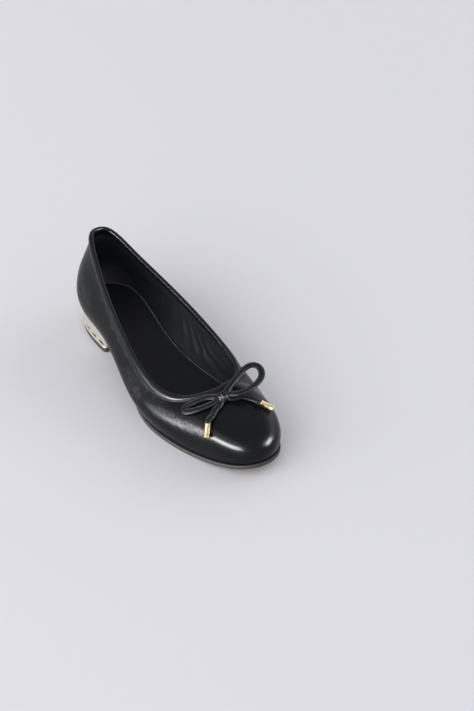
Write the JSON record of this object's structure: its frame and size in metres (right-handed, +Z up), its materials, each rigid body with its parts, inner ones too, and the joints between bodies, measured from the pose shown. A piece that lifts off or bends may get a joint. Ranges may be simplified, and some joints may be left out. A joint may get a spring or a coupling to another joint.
{
  "type": "ballet flat",
  "caption": "Round-toed low ballet flat in black smooth leather with a bound collar, a tied lace bow with metal tags on the vamp, and a low metal-clad heel.",
  "frame": {"origin": "on the floor, at the middle of the heel's top lift", "axes": "+X towards the toe, +Y towards the inner side of the foot (the wearer's left), +Z up"},
  "size_m": [0.2468, 0.0831, 0.0767],
  "materials": {
    "upper_leather": "smooth, semi-gloss, fine wrinkles",
    "binding_leather": "smooth, semi-gloss, stitched and gathered",
    "insole_leather": "matt, smooth",
    "lace_leather": "satin, folded edges with a stitch line",
    "outsole_rubber": "satin edge, fine grained underside",
    "lift_rubber": "satin",
    "heel_block": "matt",
    "heel_gold": "polished pale gold",
    "tag_gold": "polished pale gold"
  },
  "bodies": {
    "root": {"outsole": "outsole_rubber", "upper": "upper_leather", "collar_binding": "binding_leather", "insole": "insole_leather", "heel_core": "heel_block", "heel_cover": "heel_gold", "top_lift": "lift_rubber", "bow_knot": "lace_leather", "bow_loop_out": "lace_leather", "bow_loop_in": "lace_leather", "bow_tail_out": "lace_leather", "bow_tail_in": "lace_leather", "tag_out": "tag_gold", "tag_in": "tag_gold"}
  },
  "joints": []
}
